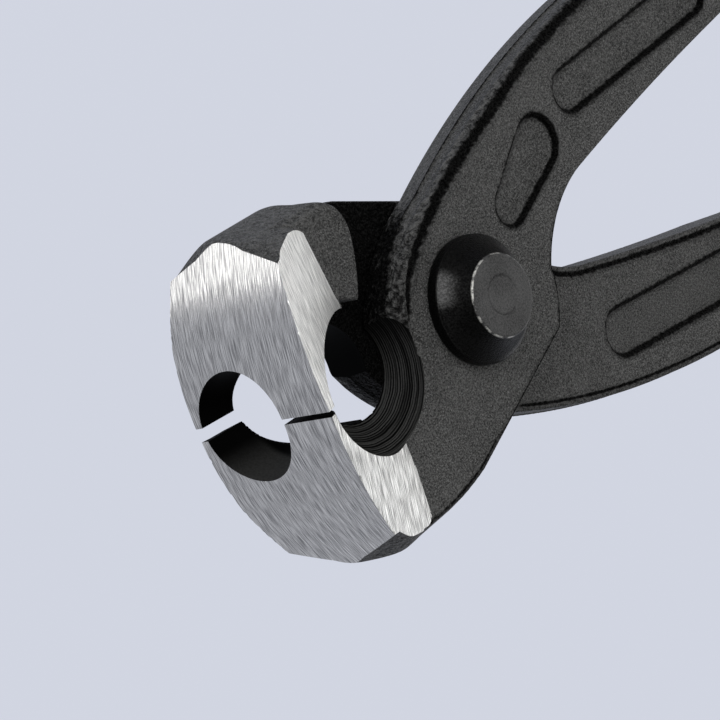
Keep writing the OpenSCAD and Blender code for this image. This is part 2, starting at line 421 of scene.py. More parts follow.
@dataclass
class LeverForging:
    """One lever in millimetres: plate, handle and jaw, with the ground and bored surfaces cut into it.

    The field is written for the closed near lever, whose plate lies at +Z and whose jaw lies at -Y. The
    far lever is the same forging turned half a turn about X, with its own SideForm.
    """

    side: Side
    # Half the angle between the closing faces at rest, in degrees
    half_opening: float = 0.575
    # Faces of the plate, and the radii of its plan: round, its jaw side, nose, crotch and toe
    plate_lo: float = 0.05
    plate_hi: float = 6.09
    disc_r: float = 13.2
    shoulder_r: float = 24.9
    nose_r: float = 14.6
    crotch_r: float = 18.0
    toe_r: float = 42.0
    # Rounding of the plan's edges at the near face, at the toe and elsewhere, and at the far face
    toe_edge: float = 0.7
    plain_edge: float = 0.3
    low_edge: float = 0.35
    # Jaw: its front, its ground sides (slopes in degrees), its crown and the block behind it
    jaw_reach: float = 32.49
    front_r: float = 42.1
    jaw_half_w: float = 11.34
    plate_side_slope: float = 19.2
    block_side_slope: float = 24.8
    end_slope: float = 2.4
    jaw_h: float = 19.8
    dome_r: float = 16.9
    crown_xs: tuple = (-25.0, -17.0, -11.0)
    crown_z: float = 4.6
    block_h: float = 4.6
    block_back: float = 12.6
    # Where each ground side ends: rear along X, outer end, corner radius, slope of the outer end at the front
    plate_side_end: tuple = (-19.05, 19.1, 2.6, 0.6)
    block_side_end: tuple = (-18.35, 19.3, 5.5, 0.18)
    end_bend_x: float = -22.5
    # Roof that takes the crown down in front of roof_x
    roof_x: float = -28.0
    roof_rise: float = 0.7
    roof_flat: float = 1.6
    roof_slope: float = 0.365
    # Throat, mouth and the gap at the jaws' hidden tips
    throat_x: float = 20.6
    flare_end: float = 11.2
    near_floor_r: float = 6.0
    near_floor_shift: float = 2.9
    mouth_r: float = 6.65
    mouth_offset: float = 3.2
    mouth_lean: float = 0.19
    bore_blend: float = 1.2
    tip_gap: float = 0.5
    tip_gap_z: float = 5.0
    # Handle: each edge's radius beside the joint, the point where it is level, and the bend of its tail
    inner_r: float = 421.0
    inner_top: tuple = (116.5, 16.2)
    inner_bend: float = 0.00081
    outer_r: float = 120.0
    outer_top: tuple = (53.0, 25.65)
    outer_bend: float = 0.000154
    tail_x: float = 50.0
    handle_end: float = 185.0
    joggle_x: float = 64.0
    joggle_len: float = 28.0
    # How much wider the far lever is at the handle's inner edge, its outer edge and beside the disc
    inner_extra: float = 0.7
    outer_extra: float = 0.6
    disc_extra: float = 0.4
    # Forged creases: inset from the outer edge along the handle, and from the edges of the back
    crease_inset: float = 1.05
    low_inset: float = 0.95
    # Pockets
    pocket_depth: float = 0.65
    pocket_draft: float = 0.7
    long_pocket_len: float = 27.0
    long_pocket_tilt: float = 4.2
    grid: float = 0.3
    tables: tuple | None = None

    def __post_init__(self) -> None:
        """Lays out the grid, coarsest on the handle, and the plan tables unless they are given."""
        self.form = FORMS[self.side]
        g = self.grid
        self.xs = spaced((-33.6, -29.1, g), (-29.1, -25.1, g * 0.7), (-25.1, 30, g), (30, 61.5, g * 1.5),
                         (61.5, 186, g * 4.5))
        self.own_ys = spaced((-21, 28, g))
        self.zs = spaced((-11.85, -8.4, g * 0.5), (-8.4, 11.85, g))
        if self.tables is None:
            wide = np.concatenate([[-40.0], self.xs, [190.0]])
            tall = np.concatenate([[-30.0], self.own_ys, [32.0]])
            outline, traits = self.plan_outline()
            self.tables = (PlanTable(outline, wide, tall, traits), PlanTable(self.jaw_outline(), wide, tall),
                           [PlanTable(o, wide, tall) for o in self.pocket_outlines()],
                           PlanTable(self.flat_outline(), wide, tall))
        self.plan, self.jaw_plan, self.pocket_plan, self.flat_plan = self.tables

    def edge_y(self, x: Array, top: tuple, r: float, bend: float) -> Array:
        """An edge of the handle: an arc of radius r that is level at a point, and past tail_x a slow bend.

        Args:
            x: Places along X.
            top: The point where the arc is level.
            r: Radius of the arc.
            bend: How fast the tail bends.

        Returns:
            Height of the edge along Y at each place.
        """
        arc = top[1] - r + np.sqrt(r ** 2 - (np.minimum(x, self.tail_x) - top[0]) ** 2)
        u = np.maximum(x - self.tail_x, 0)
        return arc + (top[0] - self.tail_x) / r * u - bend * u * u

    def inner_y(self, x: Array) -> Array:
        """Inner edge of the handle."""
        return self.edge_y(x, self.inner_top, self.inner_r, self.inner_bend)

    def outer_y(self, x: Array) -> Array:
        """Outer edge of the handle."""
        return self.edge_y(x, self.outer_top, self.outer_r, self.outer_bend)

    def plan_outline(self) -> tuple[Array, dict[str, Array]]:
        """Outline of plate and handle in plan, with the traits of each corner.

        The traits are how far a corner belongs to the forged outer edge, and the rounding of the near face
        elsewhere, which is nearly sharp but for the toe beside the jaw.

        Returns:
            The corners and the traits.
        """
        toe, knee, foot, crotch = (-20.7, -19.4), (-9.0, -17.6), (11.5, -9.0), (14.35, -2.0)
        crotch_top = (25.0, float(self.inner_y(np.array(25.0))))
        root = (0.6, 13.6)
        jaw_side = math.radians(14)
        left = (-self.disc_r * math.cos(jaw_side), self.disc_r * math.sin(jaw_side))
        low = np.concatenate([
            np.array([(-25.5, -17.6), (-23.6, -18.5), (-22.2, -19.05)]),
            arc_between(toe, knee, self.toe_r, 30),
            np.linspace(knee, foot, 40, endpoint=False),
            arc_between(foot, crotch, self.nose_r, 20),
            arc_between(crotch, crotch_top, -self.crotch_r, 40),
        ])
        x_in = np.concatenate([np.linspace(crotch_top[0], 64, 90), np.linspace(65, self.handle_end, 60)])
        x_out = np.concatenate([np.linspace(self.handle_end, 65, 60), np.linspace(64, root[0], 130)[:-1]])
        top_in = np.stack([x_in, self.inner_y(x_in)], 1)
        top_out = np.stack([x_out, self.outer_y(x_out)], 1)
        disc = arc_between(root, left, self.shoulder_r, 50)
        neck = np.array([left, (-14.5, 0.0), (-25.5, 0.0)])
        outline = np.concatenate([low, top_in, top_out, disc, neck])
        outer = np.ones(len(outline))
        outer[:len(low) + len(top_in)] = 0
        outer[-1] = 0
        edge = np.full(len(outline), self.plain_edge)
        edge[:len(low)] += (self.toe_edge - self.plain_edge) * fade(low[:, 0], -14, -19)
        return outline, {"edge": edge, "outer": outer}

    def flat_outline(self) -> Array:
        """Outline of the flat near face, whose outer side is the forged crease.

        Beside the joint the crease swings in from the outer edge, so that the flank is widest at the jaws'
        side; along the handle it keeps one inset from the edge. All but the handle's far end is smoothed by
        taking each point a quarter of the way to either neighbour, again and again.

        Returns:
            The corners.
        """
        crease = np.array([(24.8, 21.2), (19.9, 19.65), (15.0, 17.9), (10.1, 16.25), (6.3, 14.85),
                           (3.2, 13.55), (0.6, 12.3), (-2.0, 10.95), (-4.3, 9.55), (-6.8, 7.75),
                           (-8.7, 5.7), (-10.0, 3.3), (-10.7, 1.0), (-11.0, -1.5)])
        count = np.arange(len(crease))
        fine = np.linspace(0, len(crease) - 1, 120)
        beside = np.stack([np.interp(fine, count, crease[:, k]) for k in (0, 1)], 1)
        far_end = np.linspace(200, 66, 40)
        x = np.concatenate([far_end, np.linspace(64, 27.5, 60)])
        line = np.concatenate([np.stack([x, self.outer_y(x) - self.crease_inset], 1), beside])
        first = len(far_end) + 1
        for _ in range(14):
            line[first:-1] = (line[first - 1:-2] + 2 * line[first:-1] + line[first + 1:]) / 4
        return np.concatenate([line, np.array([(-40.0, -1.5), (-40.0, -60.0), (200.0, -60.0)])])

    def jaw_outline(self) -> Array:
        """Outline of jaw and backing block in plan, carried past the closing face.

        Returns:
            The corners.
        """
        heel = (-self.block_back - 2.9, -7.2)
        step = (-self.block_back - 5.7, -8.4)
        back = (-self.block_back, -14.7)
        toe = (-self.block_back - 3.4, -20.0)
        return np.concatenate([
            np.array([(-45.0, 8.0), (-45.0, -25.0), (toe[0], -25.0)]),
            arc_between(toe, back, 5, 20),
            arc_between(back, heel, 22, 20),
            np.array([heel, step, (step[0], 8.0)]),
        ])

    def pocket_outlines(self) -> list[Array]:
        """Outlines of the near face's tapered oval pocket and long pocket, and of the back's long pocket.

        Returns:
            The corners of each of the three.
        """
        tilt = math.radians(self.long_pocket_tilt)
        reach = np.array([math.cos(tilt), math.sin(tilt)]) * self.long_pocket_len
        return [slot_outline((11.8, 7.0), (8.4, 4.7), 2.6, 3.6), slot_outline((28.8, 15.0), reach, 2.9, 2.9),
                slot_outline((28.2, 15.7), reach, 3.25, 3.25)]

    def drop(self, x: Array) -> Array:
        """How far the handle has come down to the mid-plane: two equal arcs, one after the other.

        Args:
            x: Places along X.

        Returns:
            The way down at each place.
        """
        depth = (self.plate_lo + self.plate_hi) / 2
        half = self.joggle_len / 2
        bend = (half ** 2 + (depth / 2) ** 2) / depth
        t = np.clip(x - self.joggle_x, 0, self.joggle_len)
        first = bend - np.sqrt(bend ** 2 - np.minimum(t, half) ** 2)
        back = np.minimum(self.joggle_len - t, half)
        second = depth - (bend - np.sqrt(bend ** 2 - back ** 2))
        return np.where(t < half, first, second)

    def widening(self, x: Array, outer: Array) -> Array:
        """How much wider the far lever's handle is than the near one's, on its inner and outer edge.

        Args:
            x: Places along X.
            outer: How far each place belongs to the outer edge.

        Returns:
            The extra width at each place.
        """
        if self.side is Side.NEAR:
            return np.zeros_like(x)
        inside = self.inner_extra * fade(x, 11, 15) * fade(x, 72, 52)
        outside = self.outer_extra * fade(x, 34, 7) + self.disc_extra * fade(x, -5, -9)
        return inside + outer * (outside - inside)

    def on_plate(self, x: Array, y: Array, z: Array) -> tuple[Array, Array, Array, Array]:
        """Where points lie on the plate and the handle.

        Args:
            x: Places along X.
            y: Places along Y.
            z: Places along Z.

        Returns:
            How far a point belongs to the forged outer edge, how far it lies outside the plan, its height
            over the middle of the thickness, and how far it lies outside the crease.
        """
        outer = self.plan.trait("outer", x, y)
        d = self.plan.at(x, y) - self.widening(x, outer)
        up = z - ((self.plate_lo + self.plate_hi) / 2 - self.drop(x))
        return outer, d, up, self.flat_plan.at(x, y)

    def low_crease(self, x: Array, outer: Array) -> Array:
        """How much of the back's crease there is at a place: it begins behind the joint."""
        start = 17 - 13 * outer
        return fade(x, start, start + 4)

    def plate(self, x: Array, y: Array, z: Array) -> Array:
        """Field of plate and handle, in plan and thickness, joined with rounded edges.

        The sides have a slight draft from the parting line and a fine flash ridge on it. Creases, each a
        bell curve of a distance, run inside the outer edge, inside the toe's rim and round the back.

        Args:
            x: Places along X.
            y: Places along Y.
            z: Places along Z.

        Returns:
            The field at each place, negative inside and in about millimetres.
        """
        outer, d, up, c = self.on_plate(x, y, z)
        half = (self.plate_hi - self.plate_lo) / 2
        edge = self.plan.trait("edge", x, y)
        swell = edge + outer * (np.clip(c - d, 0.5, self.form.flank_r) - edge)
        r = np.where(up > 0, swell, self.low_edge)
        flank = d + outer * (0.07 * np.abs(up) - 0.12 * bell(up, 0.0, 0.2))
        body = rounded_max(flank, np.abs(up) - half, r)
        top_groove = 0.45 * outer * bell(c, 0.1, 0.42)
        rim_groove = 0.12 * (1 - outer) * bell(d, -0.5, 0.2) * fade(x, -2, -6)
        low_groove = 0.4 * bell(d, -self.low_inset, 0.32 - 0.1 * outer) * self.low_crease(x, outer)
        return body + np.where(up > 0, top_groove + rim_groove, low_groove)

    def sides(self, x: Array, y: Array, z: Array) -> list[Array]:
        """Signed heights over the two ground side planes, which fall away to the rear and the outer end.

        The plane on the tool's far side is ground a little further down at the jaws' tips.

        Args:
            x: Places along X.
            y: Places along Y.
            z: Places along Z.

        Returns:
            The height over the plane on the plate's side, and that over the other one.
        """
        heights = []
        for slope, zz in ((self.plate_side_slope, z), (self.block_side_slope, -z)):
            s, e = math.radians(slope), math.radians(self.end_slope)
            height = math.cos(e) * math.sin(s) * (x + self.jaw_reach) - math.sin(e) * y
            heights.append(height + math.cos(e) * math.cos(s) * (zz - self.jaw_half_w))
        far_side = 1 if self.side is Side.NEAR else 0
        lower = 0.4 - 0.065 * np.minimum(np.abs(y), 10)
        heights[far_side] = heights[far_side] + fade(x, -29.5, -31.5) * lower
        return heights

    def front(self, x: Array, y: Array) -> Array:
        """Signed distance to the rounded front, a cylinder along Z."""
        return np.hypot(x - (self.front_r - self.jaw_reach), y) - self.front_r

    def crown(self, x: Array, y: Array, z: Array) -> Array:
        """Field of the jaw's outer end: a bulging cylinder along X, taken down at the front by a roof.

        The roof has two even slopes that meet in a blunt ridge, and it rises out of the way behind roof_x.
        Its field is divided by about its own steepness, which makes it a distance.

        Args:
            x: Places along X.
            y: Places along Y.
            z: Places along Z.

        Returns:
            The field at each place, negative inside and in about millimetres.
        """
        ridge = self.form.roof_h + self.roof_rise * np.maximum(x - self.roof_x, 0)
        fall = np.hypot(z - self.form.roof_shift, self.roof_flat) - self.roof_flat
        roof = -y - ridge + self.roof_slope * fall
        bulge = bell(z, self.crown_z, self.form.crown_w) * np.interp(x, self.crown_xs, self.form.crown)
        dome = np.hypot(y - (self.dome_r - self.jaw_h), z) - self.dome_r - bulge
        steepness = 1.25
        return rounded_max(dome, roof / steepness, 0.35)

    def jaw_parts(self, x: Array, y: Array, z: Array) -> tuple[Array, ...]:
        """Fields whose greatest is the jaw: both sides, front and closing face, then what rules each side.

        Each side is the lower of two solids: the raw forging under its ground plane, and the raw forging
        under its flat face. The first ends towards the joint in a rounded corner.

        Args:
            x: Places along X.
            y: Places along Y.
            z: Places along Z.

        Returns:
            The side on the plate's side, the other side, the front, the closing face, and for each side
            whether its ground plane shows.
        """
        crown = self.crown(x, y, z)
        plan = self.jaw_plan.at(x, y)
        swell = 0.3 + 0.9 * fade(x, -28.5, -20) ** 2
        parts, shows = [], []
        ends = (self.plate_side_end, self.block_side_end)
        flats = (z - self.plate_hi, -z - self.block_h)
        for ground, flat, (end_x, end_y, r, slope) in zip(self.sides(x, y, z), flats, ends):
            raw = rounded_max(rounded_max(crown, ground - 0.9 * swell, swell), plan, 0.6)
            low = rounded_max(rounded_max(crown, flat, 1.6), plan, 0.45)
            outer_end = -y - end_y + slope * np.minimum(x - self.end_bend_x, 0)
            end = rounded_max(x - end_x, outer_end, r) + 0.5 * np.maximum(flat, 0)
            cut = np.maximum(np.maximum(raw, ground), end)
            parts.append(np.minimum(cut, low))
            shows.append((cut < low) & (ground > np.maximum(raw, end)))
        at_tip = z < -self.tip_gap_z if self.side is Side.NEAR else z > self.tip_gap_z
        shape = parts[0].shape
        closing = np.broadcast_to(y + self.tip_gap * at_tip, shape)
        return (*parts, np.broadcast_to(self.front(x, y), shape), closing, *shows)

    def forging(self, x: Array, y: Array, z: Array) -> Array:
        """Field of the lever before boring: plate joined with the jaw, less the pockets.

        Args:
            x: Places along X.
            y: Places along Y.
            z: Places along Z.

        Returns:
            The field at each place, negative inside and in about millimetres.
        """
        jaw = np.max(self.jaw_parts(x, y, z)[:4], axis=0)
        body = np.minimum(self.plate(x, y, z), jaw)
        down, up = self.plate_hi - z, z - self.plate_lo
        for table, depth in zip(self.pocket_plan, (down, down, up)):
            wall = table.at(x, y) + self.pocket_draft * depth
            body = np.maximum(body, -rounded_max(wall, depth - self.pocket_depth, 0.2))
        return body

    def bores(self, x: Array, y: Array, z: Array) -> Array:
        """Field of all that is bored out, in the closed frame: mouth, throat with its flare, pivot.

        The near lever's throat narrows through its plate and its middle moves towards the joint. The
        mouth's wall at -Z leans towards +Z on its way to the throat, and the wall at +Z runs straight.
        Mouth and lower throat run into each other as a soft minimum.

        Args:
            x: Places along X.
            y: Places along Y.
            z: Places along Z.

        Returns:
            The field at each place, negative inside and in about millimetres.
        """
        form = self.form
        lean = self.mouth_lean / 2 * (x + self.jaw_reach)
        mouth = np.maximum(np.hypot(y, z + self.mouth_offset - lean) - self.mouth_r + lean, x + self.throat_x)
        far = np.maximum(np.hypot(x + self.throat_x + form.low_shift, y) - form.low_r, z)
        rise = np.clip((z - form.flare_z) / (self.flare_end - form.flare_z), 0, 1.1)
        radius = form.throat_r + form.flare * rise ** 2
        shift = 0.0
        if self.side is Side.NEAR:
            sink = np.clip((self.plate_hi - z) / self.plate_hi, 0, 1)
            radius = radius - (form.throat_r - self.near_floor_r) * sink
            shift = self.near_floor_shift * sink
        near = np.maximum(np.hypot(x + self.throat_x - shift, y) - radius, -z)
        pivot = np.hypot(x, y) - form.pivot_r
        blend = np.clip(0.5 + (far - mouth) / self.bore_blend, 0, 1)
        low = far + (mouth - far) * blend - self.bore_blend / 2 * blend * (1 - blend)
        return np.minimum(low, np.minimum(near, pivot))

    def own(self, x: Array, y: Array, z: Array) -> tuple[Array, Array, Array]:
        """Points of the closed frame in the forging's own frame."""
        return (x, y, z) if self.side is Side.NEAR else (x, -y, -z)

    def solid(self, x: Array, y: Array, z: Array) -> Array:
        """Field of the finished lever in the closed frame."""
        return np.maximum(self.forging(*self.own(x, y, z)), -self.bores(x, y, z))

    def kinds(self, p: Array) -> Array:
        """Which Surface each point on the lever belongs to, by the part of the field that is nearest zero.

        Args:
            p: Points, one per row.

        Returns:
            The number of a Surface for each point.
        """
        x, y, z = p.T
        own = self.own(x, y, z)
        *parts, plate_shows, block_shows = self.jaw_parts(*own)
        plate = self.plate(*own)
        first = np.argmax(parts, axis=0)
        jaw = np.max(parts, axis=0)
        kind = np.full(len(p), Surface.FORGED.value)
        on_jaw = jaw < plate
        ground = (first == 0) & plate_shows | (first == 1) & block_shows
        kind[on_jaw & ground] = Surface.SIDE_GROUND.value
        kind[on_jaw & (first == 2)] = Surface.FRONT_GROUND.value
        # The closing face takes the blackened bore's finish as painted shade for the narrow gap between the
        # jaws
        kind[on_jaw & (first == 3)] = Surface.BORED.value
        kind[-self.bores(x, y, z) > np.minimum(jaw, plate)] = Surface.BORED.value
        return kind

    def painted_shade_and_marks(self, p: Array) -> Array:
        """How dark each point is, from 0 on a plain face to 1 where shade is painted: in a crease, at a
        pocket's foot, on the face between the levers and on an edge out of the light.

        Values about a half make scales, and the parting line is a mark of the forging. The painted shade of a
        crease or a pocket's foot is a bell curve of a distance, and it comes and goes along X or Y by a fade.

        Args:
            p: Points, one per row.

        Returns:
            One value per point.
        """
        x, y, z = self.own(*p.T)
        outer, d, up, c = self.on_plate(x, y, z)
        on_face, on_back = up > 2.2, up < -2.2
        # Near face: painted shade in the crease, in the groove in the toe's rim and on the crotch's rounded
        # edge, and the scaly band outside the crease, whose scales get more painted shade towards the jaw
        top_width = np.interp(y, [5, 10, 16], [0.42, 0.72, 0.78])
        top = bell(c, 0.12, top_width) * outer * np.maximum(fade(y, -0.5, 4.5), 0.3)
        scaly = np.interp(x, [-12, -6], [0.56, 0.34]) * outer * fade(c, 0.3, 0.8)
        rim = 0.8 * (1 - outer) * bell(d, -0.5, 0.25) * fade(x, -2, -6)
        edge = 0.9 * (1 - outer) * bell(d, -0.08, 0.24) * fade(x, -7, -3) * fade(x, 24, 19)
        # Far face: painted shade in the crease round it
        low = bell(d, -self.low_inset, 0.42 - 0.17 * outer) * self.low_crease(x, outer)
        creases = np.where(up > 0, np.maximum.reduce([top, scaly, rim, edge]) * (up > 1.5), low * on_back)
        # Scales on the jaw's crown, and the parting line
        crown = 0.26 * fade(y, -16.5, -18) * (x < -13)
        on_edge = outer * (d > -1.5)
        parting = 0.8 * on_edge * bell(up, 0.0, 0.22)
        # The outer edge in front of the joint, which the jaws keep out of the light
        shade = 0.75 if self.side is Side.NEAR else 1.0
        shade_top = np.interp(x, [-12, -5], [3.0, 2.0])
        shaded = shade * on_edge * fade(up, shade_top, shade_top - 2.2) * fade(x, 3, -4)
        # Painted shade at the foot of each pocket's wall, and on the face that slides on the other lever,
        # deep between the two
        feet = [bell(table.at(x, y), -0.2, 0.38) * face
                for table, face in zip(self.pocket_plan, (on_face, on_face, on_back))]
        sliding = (np.abs(z - self.plate_lo) < 0.15) * fade(x, 2, -1) * fade(d, 0.15, -0.15)
        return np.clip(np.maximum.reduce([creases, crown, parting, shaded, *feet, sliding]), 0, 1)

    def build(self, name: str, materials: list[bpy.types.Material]) -> bpy.types.Object:
        """Makes the lever's mesh with its materials, normals and the attribute that holds its painted shade
        and marks.

        Args:
            name: Name of the piece.
            materials: One material for each Surface, in order.

        Returns:
            The object, at the origin, with its place in its mesh.
        """
        ys = self.own_ys if self.side is Side.NEAR else -self.own_ys[::-1]
        contour = Contour(self.solid, self.xs, ys, self.zs)
        vertex, faces = contour.mesh()
        normals = contour.corner_normals(vertex, faces)
        kind = self.kinds(vertex[faces].mean(1))
        # Painted shade in creases, pocket feet, recesses and shaded edges, with scales and the parting line,
        # one value per corner
        painted_shade_and_marks = self.painted_shade_and_marks(vertex)
        turn = self.rest_turn()
        mesh = bpy.data.meshes.new(name)
        mesh.from_pydata(vertex @ turn.T * MM, [], faces.tolist())
        for material in materials:
            mesh.materials.append(material)
        mesh.polygons.foreach_set("material_index", kind.astype(np.int32))
        mesh.polygons.foreach_set("use_smooth", np.ones(len(faces), bool))
        attribute = mesh.attributes.new("painted_shade_and_marks", "FLOAT", "POINT")
        attribute.data.foreach_set("value", painted_shade_and_marks.astype(np.float32))
        mesh.update()
        mesh.normals_split_custom_set((normals @ turn.T).tolist())
        return show(name, mesh)

    def rest_turn(self) -> Array:
        """The matrix that turns a closed lever about the rivet to where it lies at rest."""
        a = math.radians(self.half_opening if self.side is Side.NEAR else -self.half_opening)
        return np.array([[math.cos(a), -math.sin(a), 0], [math.sin(a), math.cos(a), 0], [0, 0, 1]])


def show(name: str, mesh: bpy.types.Mesh) -> bpy.types.Object:
    """Puts a mesh into the scene as an object at the origin, and reports it.

    Args:
        name: Name of the object.
        mesh: Its mesh.

    Returns:
        The object.
    """
    piece = bpy.data.objects.new(name, mesh)
    bpy.context.scene.collection.objects.link(piece)
    LOG.info("%s: %d faces", name, len(mesh.polygons))
    return piece


def capped_tube(rings: Array, first: tuple, last: tuple, inside_out: bool) -> tuple[Array, list]:
    """Corners and faces of a tube of rings whose ends each close in a point.

    Args:
        rings: Points of each ring, as an array of rings, points and axes.
        first: The point that closes the first ring.
        last: The point that closes the last ring.
        inside_out: Whether the faces have to be turned over to point away from the tube's axis.

    Returns:
        The corners, and the corners of each face.
    """
    rows, columns = rings.shape[:2]
    r, c = np.meshgrid(np.arange(rows - 1), np.arange(columns), indexing="ij")
    n = (c + 1) % columns
    quads = np.stack([r * columns + c, (r + 1) * columns + c, (r + 1) * columns + n, r * columns + n], -1)
    i = np.arange(columns)
    j = (i + 1) % columns
    pole = rows * columns
    start = pole - columns
    caps = np.concatenate([np.stack([np.full_like(i, pole), i, j], 1),
                           np.stack([np.full_like(i, pole + 1), start + j, start + i], 1)])
    order = slice(None, None, -1) if inside_out else slice(None)
    faces = quads.reshape(-1, 4)[:, order].tolist() + caps[:, order].tolist()
    return np.concatenate([rings.reshape(-1, 3), [first], [last]]), faces


def surface_piece(name: str, vertex: Array, faces: list, material: bpy.types.Material,
                  sharp: float) -> bpy.types.Object:
    """Makes a mesh piece at the origin, smooth but for edges that turn by more than an angle.

    Args:
        name: Name of the piece.
        vertex: Corners in millimetres.
        faces: Corners of each face.
        material: The piece's finish.
        sharp: Least turn of a sharp edge, in degrees.

    Returns:
        The object.
    """
    mesh = bpy.data.meshes.new(name)
    mesh.from_pydata(vertex * MM, [], faces)
    mesh.materials.append(material)
    mesh.validate()
    mesh.set_sharp_from_angle(angle=math.radians(sharp))
    mesh.polygons.foreach_set("use_smooth", np.ones(len(mesh.polygons), bool))
    mesh.update()
    return show(name, mesh)


@dataclass
class TurnedRivet:
    """The joint's rivet in millimetres: a shank with a coned head on either side."""

    plate_face: float = 6.09
    far_face: float = -6.14
    shank_r: float = 4.5
    head_r: float = 7.75
    top_r: float = 5.0
    flat_r: float = 4.6
    rim_h: float = 1.5
    head_h: float = 4.9
    # Stamped ring in the top, and how deep the middle of the top lies
    ring_r: float = 2.35
    ring_w: float = 0.24
    ring_depth: float = 0.14
    sink: float = 0.06
    # How much the cone's side is hollowed
    sag: float = 0.22
    shoulder_r: float = 0.25
    segments: int = 144

    def head_profile(self) -> Array:
        """Radius and height of a head from the middle of its top out to its foot.

        The stamped ring is a dip in the shape of a bell curve, and the flat around it sinks a little
        towards the middle. The lip curves down into the cone, whose side is hollowed by half a sine wave,
        and a quarter turn leads from the cone into the upright rim.

        Returns:
            Radius and height of each point, one pair per row.
        """
        r = np.linspace(0, self.flat_r, 70)
        z = self.head_h - self.sink + 0.03 * (r / self.flat_r) ** 2
        z = z - self.ring_depth * bell(r, self.ring_r, self.ring_w / 2)
        t = np.linspace(0, 1, 7)[1:]
        lip_r = self.flat_r + 0.34 * np.sin(t) / math.sin(1.0)
        lip = np.stack([lip_r, self.head_h - 0.03 - 0.14 * t ** 2], 1)
        cone_top = np.array([self.top_r + 0.04, self.head_h - 0.32])
        cone_foot = np.array([self.head_r - self.shoulder_r, self.rim_h + 0.15])
        k = np.linspace(0, 1, 26)[:, None]
        cone = cone_top + (cone_foot - cone_top) * k - self.sag * np.sin(np.pi * k) * [0.75, 0.55]
        t = np.linspace(0, np.pi / 2, 8)
        shoulder = np.stack([self.head_r + self.shoulder_r * (np.sin(t) - 1),
                             self.rim_h - 0.15 + self.shoulder_r * np.cos(t)], 1)
        rim = np.array([[self.head_r, 0.9], [self.head_r, 0.45],
                        [self.head_r - 0.06, 0.12], [self.head_r - 0.18, 0]])
        return np.concatenate([np.stack([r, z], 1), lip, cone, shoulder, rim])

    def build(self, material: bpy.types.Material) -> bpy.types.Object:
        """Turns the profile of both heads and the shank about Z, with the two poles closed.

        Each ring is the profile's radius times the cosine and sine of evenly spread angles, at its height.

        Args:
            material: The rivet's finish.

        Returns:
            The object.
        """
        head = self.head_profile()
        near = head + [0, self.plate_face]
        far = head[::-1] * [1, -1] + [0, self.far_face]
        shank = np.array([[self.shank_r, z] for z in (self.plate_face, 0.0, self.far_face)])
        profile = np.concatenate([near, shank, far])[1:-1]
        a = np.linspace(0, 2 * np.pi, self.segments, endpoint=False)
        rings = np.empty((len(profile), self.segments, 3))
        rings[:, :, :2] = profile[:, 0, None, None] * np.stack([np.cos(a), np.sin(a)], 1)[None]
        rings[:, :, 2] = profile[:, 1, None]
        middle = self.head_h - self.sink
        top, bottom = (0, 0, self.plate_face + middle), (0, 0, self.far_face - middle)
        vertex, faces = capped_tube(rings, top, bottom, inside_out=False)
        return surface_piece("turned_rivet", vertex, faces, material, 40)


@dataclass
class DippedSleeve:
    """Sleeve dipped onto a handle, in millimetres in the closed near frame."""

    forging: LeverForging
    start: float = 94.0
    wall: float = 2.4
    cover: float = 2.6
    cap: float = 2.5
    # What keeps its tip inside the solid's, and the length that closes there
    inset: float = 0.02
    closing: float = 9.0
    bead: float = 0.35
    # Power that makes an oval nearly square
    squareness: float = 0.52
    columns: int = 96

    def stations(self) -> tuple[Array, Array]:
        """Places along X and how far the section is drawn in there.

        The front swells out of the steel as a quarter turn with a rolled bead behind it, and the end closes
        as the long side of an oval.

        Returns:
            Both, one value for each station.
        """
        tip = self.forging.handle_end + self.cap - self.inset
        turn = np.linspace(0, 1, 14) * np.pi / 2
        lip_x = self.start + 2.6 * (1 - np.cos(turn))
        lip_in = 2.3 * (1 - np.sin(turn))
        body = np.linspace(self.start + 3.2, tip - self.closing, 120)
        body_in = self.bead * (1 - bell(body, self.start + 3, 4.5))
        end = np.sin(np.linspace(0, 1, 30)[1:] * np.pi / 2)
        end_x = tip - self.closing + self.closing * end
        end_in = self.bead + 7.6 * (1 - np.sqrt(np.maximum(1 - end ** 2.6, 0)))
        return np.concatenate([lip_x, body, end_x]), np.concatenate([lip_in, body_in, end_in])

    def build(self, name: str, material: bpy.types.Material) -> bpy.types.Object:
        """Carries a rounded rectangle along the handle and closes both ends.

        A point of a ring is the middle of the handle, plus the half height and half thickness times the
        cosine and sine of the angle, each raised to the sleeve's squareness.

        Args:
            name: Name of the piece.
            material: The sleeve's finish.

        Returns:
            The object.
        """
        x, drawn = self.stations()
        lever = self.forging
        top, foot = lever.outer_y(x) + self.wall, lever.inner_y(x) - self.wall
        middle = (top + foot) / 2
        half_y = np.maximum((top - foot) / 2 - drawn, 0.35)
        half_z = np.maximum((lever.plate_hi - lever.plate_lo) / 2 + self.cover - drawn * 0.7, 0.3)
        a = np.linspace(0, 2 * np.pi, self.columns, endpoint=False)
        cy, cz = (np.sign(wave) * np.abs(wave) ** self.squareness for wave in (np.cos(a), np.sin(a)))
        rings = np.stack([np.broadcast_to(x[:, None], (len(x), self.columns)),
                          middle[:, None] + half_y[:, None] * cy, half_z[:, None] * cz], -1)
        front, tip = (x[0] + 0.4, middle[0], 0), (x[-1] + self.inset, middle[-1], 0)
        vertex, faces = capped_tube(rings, front, tip, inside_out=True)
        if lever.side is Side.FAR:
            vertex = vertex * [1, -1, -1]
        return surface_piece(name, vertex @ lever.rest_turn().T, faces, material, 50)


